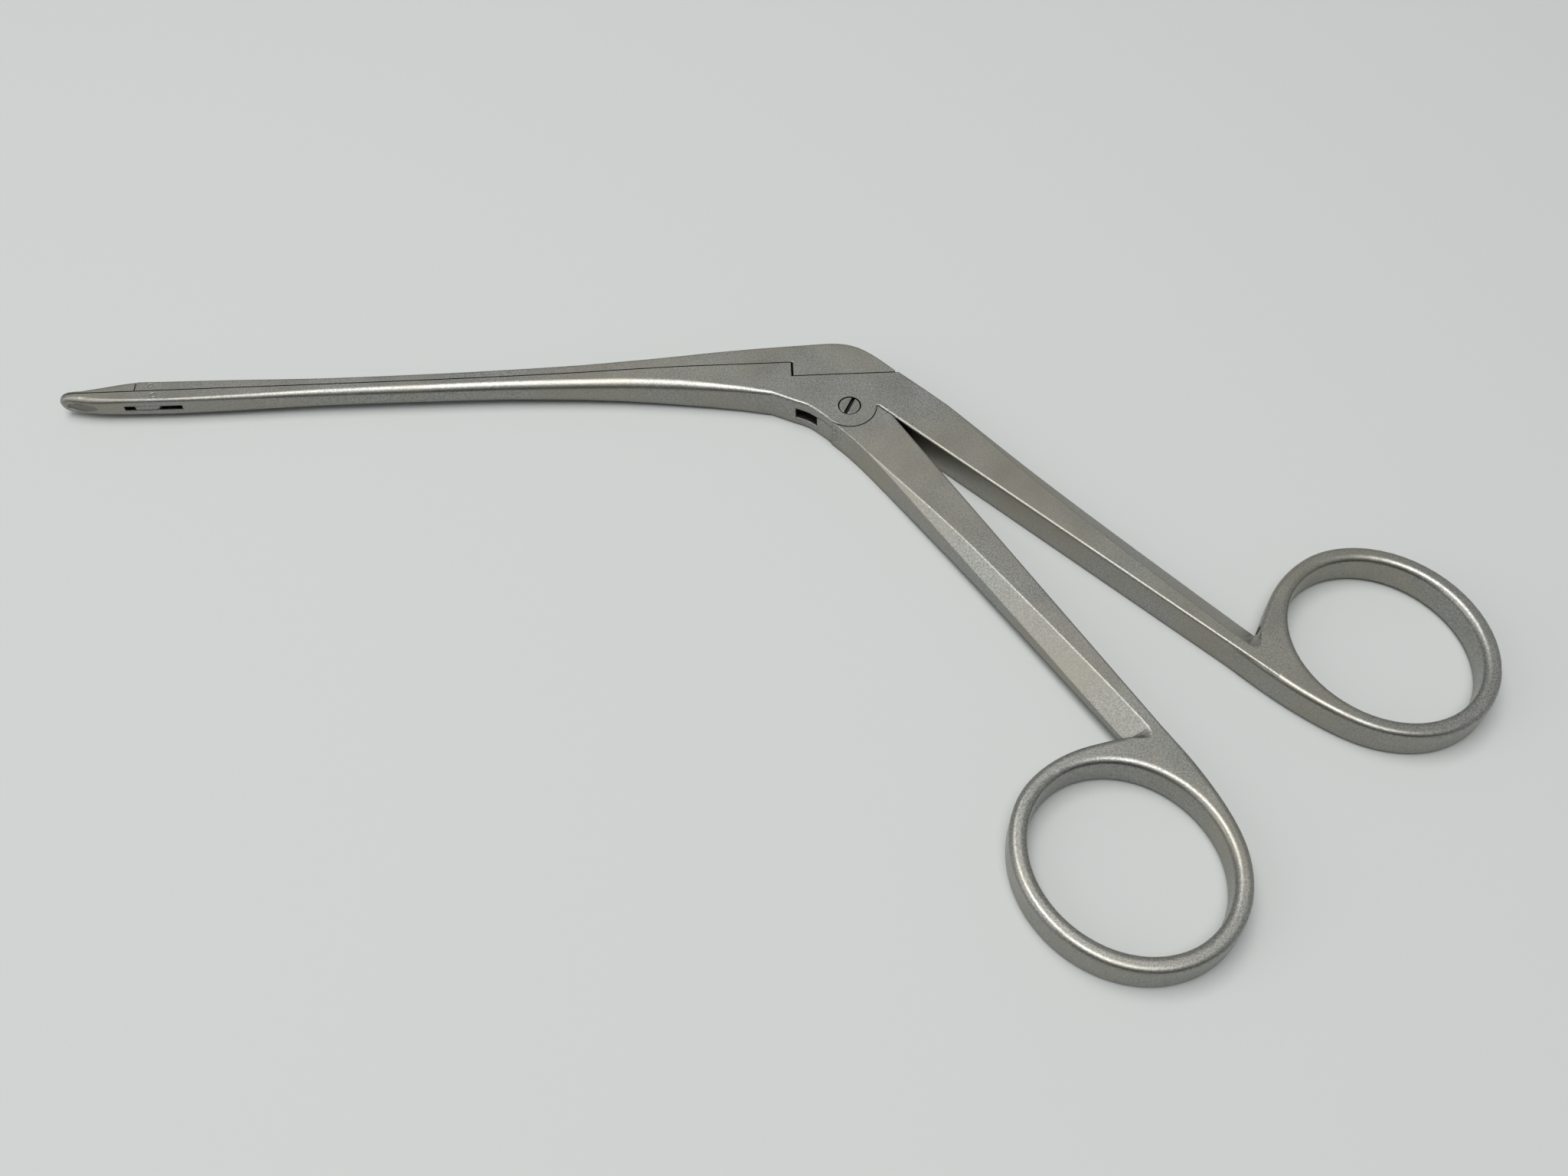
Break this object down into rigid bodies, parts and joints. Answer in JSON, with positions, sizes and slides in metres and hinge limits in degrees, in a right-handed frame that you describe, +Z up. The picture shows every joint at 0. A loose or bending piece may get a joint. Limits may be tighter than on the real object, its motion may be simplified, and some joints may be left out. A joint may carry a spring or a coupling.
{
  "type": "nasal forceps",
  "caption": "Slim steel nasal forceps with a push slide, oval windowed jaws and two finger rings, lying closed on its side.",
  "frame": {"origin": "on the axis of the pivot screw, at the side face that the forceps lies on", "axes": "+Z up out of the side face, along the pivot axis; +X along the slide line, away from the jaws; +Y away from the handles"},
  "size_m": [0.2037, 0.1015, 0.0052],
  "materials": {
    "satin_steel": "satin, bead blasted",
    "screw_steel": "ground flush"
  },
  "bodies": {
    "fixed_half": {"body": "satin_steel", "pivot_screw": "screw_steel", "jaw_pin": "screw_steel"},
    "moving_handle": {"front_handle": "satin_steel"},
    "slide_bar": {"slide": "satin_steel", "link_pin": "screw_steel"},
    "moving_jaw": {"upper_jaw": "satin_steel"}
  },
  "joints": [
    {"name": "handle_pivot", "type": "hinge", "parent": "fixed_half", "child": "moving_handle", "pos_m": [0, 0, 0.0026], "axis": [0, 0, -1], "range_deg": [0, 11]},
    {"name": "slide_travel", "type": "slide", "parent": "fixed_half", "child": "slide_bar", "axis": [1, 0, 0], "range_m": [0, 0.00144]},
    {"name": "jaw_pivot", "type": "hinge", "parent": "fixed_half", "child": "moving_jaw", "pos_m": [-0.1053, 0.0081, 0.0026], "axis": [0, 0, -1], "range_deg": [0, 40]}
  ],
  "couplings": [
    {"joint": "slide_travel", "follows": "handle_pivot", "m_per_rad": 0.0075},
    {"joint": "jaw_pivot", "follows": "handle_pivot", "ratio": 3.636}
  ]
}
